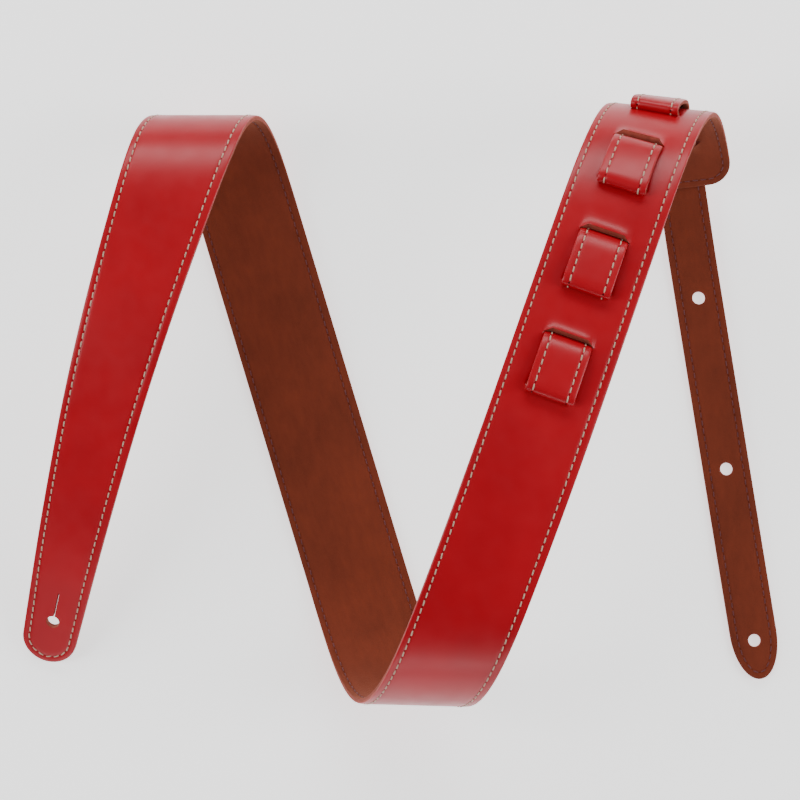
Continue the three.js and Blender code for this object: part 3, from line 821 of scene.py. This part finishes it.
def stitch_nodes():
    """Puts a shape on every point of a mesh, along and out of the seam, each a little uneven."""
    name = "Stitch Run"
    if name in bpy.data.node_groups:
        return bpy.data.node_groups[name]
    tree = bpy.data.node_groups.new(name, "GeometryNodeTree")
    tree.is_modifier = True
    tree.interface.new_socket("Geometry", in_out="INPUT", socket_type="NodeSocketGeometry")
    tree.interface.new_socket("Shape", in_out="INPUT", socket_type="NodeSocketObject")
    tree.interface.new_socket("Finish", in_out="INPUT", socket_type="NodeSocketMaterial")
    for label, kind, default in (("Lean", "Float", 0.0), ("Unevenness", "Float", UNEVENNESS),
                                 ("Seed", "Int", SEED)):
        socket = tree.interface.new_socket(label, in_out="INPUT", socket_type=f"NodeSocket{kind}")
        socket.default_value = default
    tree.interface.new_socket("Geometry", in_out="OUTPUT", socket_type="NodeSocketGeometry")
    nodes, links = tree.nodes, tree.links
    given, result = nodes.new("NodeGroupInput"), nodes.new("NodeGroupOutput")

    def attribute(label):
        node = nodes.new("GeometryNodeInputNamedAttribute")
        node.data_type = "FLOAT_VECTOR"
        node.inputs["Name"].default_value = label
        return node.outputs["Attribute"]

    def between(low, high, offset):
        node = nodes.new("FunctionNodeRandomValue")
        node.data_type = "FLOAT"
        links.new(low, node.inputs[2])
        links.new(high, node.inputs[3])
        seed = nodes.new("ShaderNodeMath")
        seed.operation = "ADD"
        links.new(given.outputs["Seed"], seed.inputs[0])
        seed.inputs[1].default_value = offset
        links.new(seed.outputs[0], node.inputs["Seed"])
        return node.outputs[1]

    def maths(operation, first, second):
        node = nodes.new("ShaderNodeMath")
        node.operation = operation
        for socket, value in zip(node.inputs, (first, second)):
            if isinstance(value, float):
                socket.default_value = value
            else:
                links.new(value, socket)
        return node.outputs[0]

    uneven = given.outputs["Unevenness"]
    minus = maths("MULTIPLY", uneven, -1.0)
    axes = nodes.new("FunctionNodeAxesToRotation")
    axes.primary_axis, axes.secondary_axis = "Z", "X"
    links.new(attribute("out"), axes.inputs[0])
    links.new(attribute("along"), axes.inputs[1])
    lean = nodes.new("ShaderNodeCombineXYZ")
    links.new(maths("ADD", given.outputs["Lean"], between(minus, uneven, 1)), lean.inputs["Z"])
    turn = nodes.new("FunctionNodeRotateRotation")
    turn.rotation_space = "LOCAL"
    links.new(axes.outputs[0], turn.inputs[0])
    links.new(lean.outputs[0], turn.inputs[1])
    instances = nodes.new("GeometryNodeInstanceOnPoints")
    shape = nodes.new("GeometryNodeObjectInfo")
    links.new(given.outputs["Shape"], shape.inputs["Object"])
    links.new(given.outputs["Geometry"], instances.inputs["Points"])
    links.new(shape.outputs["Geometry"], instances.inputs["Instance"])
    links.new(turn.outputs[0], instances.inputs["Rotation"])
    links.new(maths("ADD", between(minus, uneven, 2), 1.0), instances.inputs["Scale"])
    realize = nodes.new("GeometryNodeRealizeInstances")
    finish = nodes.new("GeometryNodeSetMaterial")
    links.new(instances.outputs[0], realize.inputs[0])
    links.new(realize.outputs[0], finish.inputs["Geometry"])
    links.new(given.outputs["Finish"], finish.inputs["Material"])
    links.new(finish.outputs[0], result.inputs["Geometry"])
    return tree


def stitched(name, points, laid, shape, finish, side_up, lean):
    """A piece with one shape at each point length, v, h of a seam."""
    small = 0.0002

    def place(offset):
        moved = points[:, :3] + offset
        return folded(laid(moved) if laid else moved)

    at = place((0, 0, 0))
    ways = points[:, 3:5]
    along = place(np.column_stack((ways * small, np.zeros(len(ways))))) - at
    out = (place((0, 0, small)) - at) * side_up
    mesh = bpy.data.meshes.new(name)
    mesh.from_pydata([tuple(p) for p in at], [], [])
    for label, vectors in (("along", along), ("out", out)):
        vectors = vectors / np.linalg.norm(vectors, axis=1)[:, None]
        mesh.attributes.new(label, "FLOAT_VECTOR", "POINT").data.foreach_set("vector", vectors.ravel())
    obj = bpy.data.objects.new(name, mesh)
    bpy.context.scene.collection.objects.link(obj)
    tree = stitch_nodes()
    run = obj.modifiers.new("stitches", "NODES")
    run.node_group = tree
    values = {"Shape": shape, "Finish": finish, "Lean": lean, "Unevenness": UNEVENNESS, "Seed": SEED}
    for socket in tree.interface.items_tree:
        if socket.in_out == "INPUT" and socket.name in values:
            run[socket.identifier] = values[socket.name]
    apply_modifiers(obj)
    return obj


def seam_points(line, pitch):
    """Middles and holes of a seam's stitches, each with the seam's direction there."""
    made = []
    for places in spaced(line, pitch):
        ways = np.gradient(places, axis=0)
        ways /= np.linalg.norm(ways, axis=1)[:, None]
        made.append(np.column_stack((places, np.zeros(len(places)), ways)))
    return made


class STRAP_OT_stitching(bpy.types.Operator):
    """Sew the main strap and the tail: needle thread, bobbin thread and needle holes"""
    bl_idname = "strap.stitching"
    bl_label = "Stitching"

    def execute(self, context):
        scene = context.scene
        sizes, tail, seam = scene.strap_sizes, scene.tail_sizes, scene.seam_sizes
        way = TailWay(tail, scene.ladder_sizes)
        # The needle holes are shallow dishes whose dark finish is painted shade.
        hole = needle_hole_shape("needle_hole_shape", NEEDLE_HOLE_RADIUS)
        hole_shade_finish = needle_hole_shade_material()
        runs = [
            (STRAP_PIECES, STANDS_FOR, strap_seam(sizes, seam), sizes.thickness / 2, None, float),
            (TAIL_PIECES, TAIL_STANDS_FOR, tail_seam(tail, seam, way), tail.thickness / 2, way.laid,
             way.length_at),
        ]
        for thread, (side_up, kind, length, lean) in THREADS.items():
            shape = stitch_shape(f"{thread}_shape", length, getattr(seam, kind))
            finish = thread_material(thread, getattr(scene.finishes, kind))
            for pieces, stands_for, line, half, laid, own in runs:
                middles, holes = seam_points(line, seam.pitch)
                for points, sunk in ((middles, seam.groove), (holes, seam.groove - HOLE_RISE)):
                    points[:, 2] = side_up * (half - sunk)
                for name, (bodies, start, end, _) in pieces.items():
                    low = own(start) if start else -1.0
                    high = own(end) if end else 9.0
                    here, at = [p[(p[:, 0] >= low) & (p[:, 0] < high)] for p in (middles, holes)]
                    nodes = thread_nodes(stands_for[name], thread)
                    sewn = stitched(f"{name}_{thread}", here, laid, shape, finish, side_up, lean)
                    follow(sewn, bodies, bend_for(name, way), nodes)
                    pricked = stitched(f"{name}_{thread}_holes", at, laid, hole, hole_shade_finish, side_up, 0.0)
                    follow(pricked, bodies, bend_for(name, way), [])
            bpy.data.objects.remove(shape)
        bpy.data.objects.remove(hole)
        return {"FINISHED"}


def thread_nodes(bodies, thread):
    """The CAD nodes whose names start with these lengths and this thread."""
    return sorted(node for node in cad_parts
                  if any(node.startswith(f"{body}_{thread}") for body in bodies))


# ---- Materials ----

def shader_group(name, inputs, outputs):
    """An empty node group with float and vector inputs, or None if it is there already."""
    if name in bpy.data.node_groups:
        return None
    tree = bpy.data.node_groups.new(name, "ShaderNodeTree")
    for label, kind, default in inputs:
        socket = tree.interface.new_socket(label, in_out="INPUT", socket_type=f"NodeSocket{kind}")
        if default is not None:
            socket.default_value = default
    for label, kind in outputs:
        tree.interface.new_socket(label, in_out="OUTPUT", socket_type=f"NodeSocket{kind}")
    return tree


class Wiring:
    """Short calls for adding nodes to a tree: a socket is linked and a number is set."""

    def __init__(self, tree):
        self.tree = tree

    def node(self, kind, values=None, **settings):
        node = self.tree.nodes.new(kind)
        for key, value in settings.items():
            setattr(node, key, value)
        return self.fill(node, values or {})

    def fill(self, node, values):
        for key, value in values.items():
            if isinstance(value, bpy.types.NodeSocket):
                self.tree.links.new(value, node.inputs[key])
            else:
                node.inputs[key].default_value = value
        return node

    def noise(self, place, scale, detail=2.0, roughness=0.5):
        return self.node("ShaderNodeTexNoise", {"Vector": place, "Scale": scale, "Detail": detail,
                                                "Roughness": roughness}).outputs["Fac"]

    def maths(self, operation, first, second):
        return self.node("ShaderNodeMath", {0: first, 1: second}, operation=operation).outputs[0]

    def stretch(self, place, amounts):
        return self.node("ShaderNodeMapping", {"Vector": place, "Scale": amounts}).outputs[0]

    def spread(self, value, low, high, to_low, to_high):
        return self.node("ShaderNodeMapRange", {"Value": value, 1: low, 2: high, 3: to_low,
                                                4: to_high}).outputs[0]

    def mix(self, share, first, second):
        # On a colour mix, input 0 is the share, 6 and 7 are the colours, and output 2 is the result.
        return self.node("ShaderNodeMix", {0: share, 6: first, 7: second}, data_type="RGBA").outputs[2]

    def group(self, name, values):
        return self.node("ShaderNodeGroup", values, node_tree=bpy.data.node_groups[name]).outputs


def grain_group():
    """Fine pores and soft creases of coated leather: a height, a gloss mask and a tone."""
    tree = shader_group("Leather Grain", [("Place", "Vector", None), ("Pores", "Float", 1500.0)],
                        [("Height", "Float"), ("Gloss", "Float"), ("Tone", "Float")])
    if not tree:
        return
    w = Wiring(tree)
    given, result = w.node("NodeGroupInput"), w.node("NodeGroupOutput")
    place = given.outputs["Place"]
    pores = w.node("ShaderNodeTexVoronoi", {"Vector": place, "Scale": given.outputs["Pores"]},
                   feature="SMOOTH_F1").outputs["Distance"]
    hair = w.noise(place, 900.0, 3.0)
    waves = w.noise(place, 45.0, 2.0)
    height = w.maths("ADD", w.maths("MULTIPLY", pores, 0.5), w.maths("MULTIPLY", hair, 0.35))
    height = w.maths("ADD", height, w.maths("MULTIPLY", waves, 1.6))
    tree.links.new(height, result.inputs["Height"])
    tree.links.new(w.spread(w.noise(place, 130.0, 3.0), 0.3, 0.7, 0.0, 1.0), result.inputs["Gloss"])
    tree.links.new(w.spread(w.noise(place, 26.0, 3.0), 0.3, 0.7, 0.0, 1.0), result.inputs["Tone"])


def nap_group():
    """Brushed suede: its patches, its streaks and its short fibres."""
    tree = shader_group("Suede Nap", [("Place", "Vector", None), ("Fibres", "Float", 2600.0)],
                        [("Height", "Float"), ("Tone", "Float"), ("Fleck", "Float")])
    if not tree:
        return
    w = Wiring(tree)
    given, result = w.node("NodeGroupInput"), w.node("NodeGroupOutput")
    place = given.outputs["Place"]
    patches = w.noise(place, 38.0, 4.0, 0.6)
    streaks = w.noise(w.stretch(place, (110.0, 330.0, 110.0)), 1.0, 4.0, 0.62)
    fibres = w.noise(place, given.outputs["Fibres"], 3.0, 0.7)
    clumps = w.noise(place, 700.0, 2.0)
    tone = w.maths("ADD", w.maths("MULTIPLY", patches, 0.6), w.maths("MULTIPLY", streaks, 0.4))
    tree.links.new(w.spread(tone, 0.34, 0.66, 0.0, 1.0), result.inputs["Tone"])
    tree.links.new(w.spread(fibres, 0.35, 0.7, 0.0, 1.0), result.inputs["Fleck"])
    height = w.maths("ADD", fibres, w.maths("MULTIPLY", clumps, 0.9))
    tree.links.new(height, result.inputs["Height"])


def fibre_group():
    """Raw fibres, as on a cut edge: a height and a tone, running along the cut."""
    tree = shader_group("Raw Fibres", [("Place", "Vector", None)], [("Height", "Float"), ("Tone", "Float")])
    if not tree:
        return
    w = Wiring(tree)
    given, result = w.node("NodeGroupInput"), w.node("NodeGroupOutput")
    place = given.outputs["Place"]
    strands = w.noise(w.stretch(place, (500.0, 500.0, 2400.0)), 1.0, 3.0, 0.65)
    lumps = w.noise(place, 380.0, 2.0)
    tone = w.maths("ADD", w.maths("MULTIPLY", strands, 0.6), w.maths("MULTIPLY", lumps, 0.4))
    tree.links.new(w.spread(tone, 0.32, 0.68, 0.0, 1.0), result.inputs["Tone"])
    tree.links.new(strands, result.inputs["Height"])


def new_material(name, roughness, **sockets):
    """A material with only a Principled shader, the wiring of its tree, and that shader."""
    material = bpy.data.materials.new(name)
    material.use_nodes = True
    shader = material.node_tree.nodes["Principled BSDF"]
    shader.inputs["Roughness"].default_value = roughness
    for label, value in sockets.items():
        shader.inputs[label.replace("_", " ")].default_value = value
    return material, Wiring(material.node_tree), shader


def shade(colour, share):
    return (*[channel * share for channel in colour], 1.0)


def finish_with(wiring, shader, colour, height, strength, distance):
    """Feeds a colour and a bump to a shader."""
    wiring.tree.links.new(colour, shader.inputs["Base Color"])
    bump = wiring.node("ShaderNodeBump", {"Strength": strength, "Distance": distance, "Height": height})
    wiring.tree.links.new(bump.outputs[0], shader.inputs["Normal"])


def flat_place(wiring):
    return wiring.node("ShaderNodeAttribute", attribute_name="flat_place").outputs["Vector"]


def leather_materials():
    """Red leather for the face and its raw cut for the edge."""
    if "red leather" not in bpy.data.materials:
        grain_group()
        red = bpy.context.scene.finishes.red
        _, w, shader = new_material("red leather", 0.34, Coat_Weight=0.08, Coat_Roughness=0.22,
                                    Specular_IOR_Level=0.33)
        grain = w.group("Leather Grain", {"Place": flat_place(w)})
        colour = w.mix(grain["Tone"], shade(red, 0.9), shade(red, 1.06))
        w.tree.links.new(w.spread(grain["Gloss"], 0.0, 1.0, 0.31, 0.39), shader.inputs["Roughness"])
        finish_with(w, shader, colour, grain["Height"], 0.12, 0.00012)
    return [bpy.data.materials["red leather"], cut_edge_material("leather cut edge", 1.0)]


def suede_materials():
    """Suede for the face and its raw cut for the edge."""
    if "brown suede" not in bpy.data.materials:
        nap_group()
        suede = bpy.context.scene.finishes.suede
        _, w, shader = new_material("brown suede", 0.95, Sheen_Weight=0.22, Sheen_Roughness=0.5,
                                    Specular_IOR_Level=0.25)
        shader.inputs["Sheen Tint"].default_value = shade((1.0, 0.45, 0.28), 1.0)
        nap = w.group("Suede Nap", {"Place": flat_place(w)})
        patch = w.mix(nap["Tone"], shade(suede, 0.72), shade(suede, 1.3))
        colour = w.mix(nap["Fleck"], patch, shade(suede, 1.12))
        finish_with(w, shader, colour, nap["Height"], 0.55, 0.00025)
    return [bpy.data.materials["brown suede"], cut_edge_material("lining cut edge", 0.8)]


def cut_edge_material(name, brightness):
    if name not in bpy.data.materials:
        fibre_group()
        raw = bpy.context.scene.finishes.cut_edge
        _, w, shader = new_material(name, 0.85, Specular_IOR_Level=0.3)
        fibres = w.group("Raw Fibres", {"Place": flat_place(w)})
        colour = w.mix(fibres["Tone"], shade(raw, 0.62 * brightness), shade(raw, 1.2 * brightness))
        finish_with(w, shader, colour, fibres["Height"], 0.5, 0.0002)
    return bpy.data.materials[name]


def thread_material(name, colour):
    """Waxed thread of twisted plies, whose turns follow its UV map. The grooves between the plies are
    painted darker, as painted shade, by the same bands that make its bump.
    """
    material, w, shader = new_material(name, 0.6, Specular_IOR_Level=0.4, Sheen_Weight=0.15)
    turns = w.node("ShaderNodeUVMap", uv_map="thread_turns").outputs[0]
    slanted = w.node("ShaderNodeMapping", {"Vector": turns, "Scale": (5.0, 2.0, 1.0)}).outputs[0]
    plies = w.node("ShaderNodeTexWave", {"Vector": slanted, "Scale": 1.0, "Distortion": 0.4,
                                         "Detail": 1.0}, bands_direction="DIAGONAL").outputs["Fac"]
    # Painted shade: the thread is darker where the plies' bands are low, in the grooves between them.
    painted_ply_shade = w.mix(plies, shade(colour, 0.72), shade(colour, 1.05))
    finish_with(w, shader, painted_ply_shade, plies, 0.6, 0.00012)
    return material


# Painted shade: the near-black finish of the needle holes' shallow dishes stands in for the shade inside
# each hole, speckled a little.
def needle_hole_shade_material():
    material, w, shader = new_material("needle hole", 0.9, Specular_IOR_Level=0.1)
    place = w.node("ShaderNodeTexCoord").outputs["Object"]
    hole = bpy.context.scene.finishes.hole
    # The speckle varies the painted shade of the hole and gives the dish its bump.
    shade_speckle = w.noise(place, 1500.0)
    finish_with(w, shader, w.mix(shade_speckle, shade(hole, 0.6), shade(hole, 1.4)), shade_speckle, 0.4, 0.0001)
    return material


# ---- Stage ----

# Each light: its place, what it points at, its two sides and its power.
LIGHTS = {
    "far light": ((0.1, 1.8, 1.15), (0, 0, 0), (2.2, 0.7), 32),
    "near light": ((0.0, -1.75, 0.42), (0.0, 0, 0.05), (2.2, 0.3), 9),
    "left light": ((-1.8, 0.0, 1.15), (0, 0, 0.03), (0.8, 2.0), 33),
    "right light": ((1.8, 0.0, 1.15), (0, 0, 0.03), (0.8, 2.0), 30),
}
ROOM_LIGHT = 0.16
CAMERA_AIM = (-0.00048, 0.00237, 0)
CAMERA_LEAN = math.radians(-0.13)


class STRAP_OT_stage(bpy.types.Operator):
    """Make the pale floor, the soft lights and the camera"""
    bl_idname = "strap.stage"
    bl_label = "Floor, Lights and Camera"

    def execute(self, context):
        scene, stage = context.scene, context.scene.stage_sizes
        self.make_floor(scene, stage)
        self.make_world(scene)
        for name, light in LIGHTS.items():
            self.make_light(name, *light)
        self.make_camera(scene, stage)
        return {"FINISHED"}

    def make_floor(self, scene, stage):
        side = stage.floor
        mesh = bpy.data.meshes.new("floor")
        mesh.from_pydata([(-side, -side, 0), (side, -side, 0), (side, side, 0), (-side, side, 0)], [],
                         [(0, 1, 2, 3)])
        material, _, shader = new_material("pale floor", 0.9, Specular_IOR_Level=0.2)
        shader.inputs["Base Color"].default_value = (*scene.finishes.floor, 1.0)
        shader.inputs["Emission Color"].default_value = (1.0, 1.0, 1.0, 1.0)
        shader.inputs["Emission Strength"].default_value = stage.floor_glow
        mesh.materials.append(material)
        floor = bpy.data.objects.new("floor", mesh)
        scene.collection.objects.link(floor)

    def make_world(self, scene):
        world = bpy.data.worlds.new("soft white room")
        world.use_nodes = True
        background = world.node_tree.nodes["Background"]
        background.inputs["Color"].default_value = (1.0, 1.0, 1.0, 1.0)
        background.inputs["Strength"].default_value = ROOM_LIGHT
        scene.world = world

    def make_light(self, name, place, towards, sides, power):
        lamp = bpy.data.lights.new(name, "AREA")
        lamp.shape = "RECTANGLE"
        lamp.size, lamp.size_y = sides
        lamp.energy = power
        light = bpy.data.objects.new(name, lamp)
        light.location = place
        light.rotation_euler = (Vector(towards) - Vector(place)).to_track_quat("-Z", "Y").to_euler()
        bpy.context.scene.collection.objects.link(light)

    def make_camera(self, scene, stage):
        lens = bpy.data.cameras.new("camera")
        lens.lens = stage.lens
        lens.sensor_width = 36
        camera = bpy.data.objects.new("camera", lens)
        camera.rotation_euler = (stage.tilt, CAMERA_LEAN, 0)
        back = camera.rotation_euler.to_matrix() @ Vector((0, 0, 1))
        camera.location = Vector(CAMERA_AIM) + back * stage.distance
        scene.collection.objects.link(camera)
        scene.camera = camera


# ---- Panel and registration ----

OPERATORS = (STRAP_OT_main_strap, STRAP_OT_tail, STRAP_OT_stitching, STRAP_OT_stage)
GROUPS = {
    "strap_sizes": StrapSizes, "ladder_sizes": LadderSizes, "tail_sizes": TailSizes,
    "seam_sizes": SeamSizes, "finishes": Finishes, "stage_sizes": StageSizes,
}


class STRAP_PT_panel(bpy.types.Panel):
    """The strap's sizes, its finishes and the steps that make it"""
    bl_idname = "STRAP_PT_panel"
    bl_label = "Woven Guitar Strap"
    bl_space_type = "VIEW_3D"
    bl_region_type = "UI"
    bl_category = "Strap"

    def draw(self, context):
        for operator in OPERATORS:
            self.layout.operator(operator.bl_idname)
        for name, group in GROUPS.items():
            box = self.layout.box()
            for key in group.__annotations__:
                box.prop(getattr(context.scene, name), key)


def register():
    for cls in (*GROUPS.values(), *OPERATORS, STRAP_PT_panel):
        bpy.utils.register_class(cls)
    for name, group in GROUPS.items():
        setattr(bpy.types.Scene, name, PointerProperty(type=group))


def unregister():
    for name in GROUPS:
        delattr(bpy.types.Scene, name)
    for cls in reversed((*GROUPS.values(), *OPERATORS, STRAP_PT_panel)):
        bpy.utils.unregister_class(cls)


def main():
    register()
    bpy.ops.strap.main_strap()
    bpy.ops.strap.tail()
    bpy.ops.strap.stitching()
    bpy.ops.strap.stage()


if __name__ == "__main__":
    main()
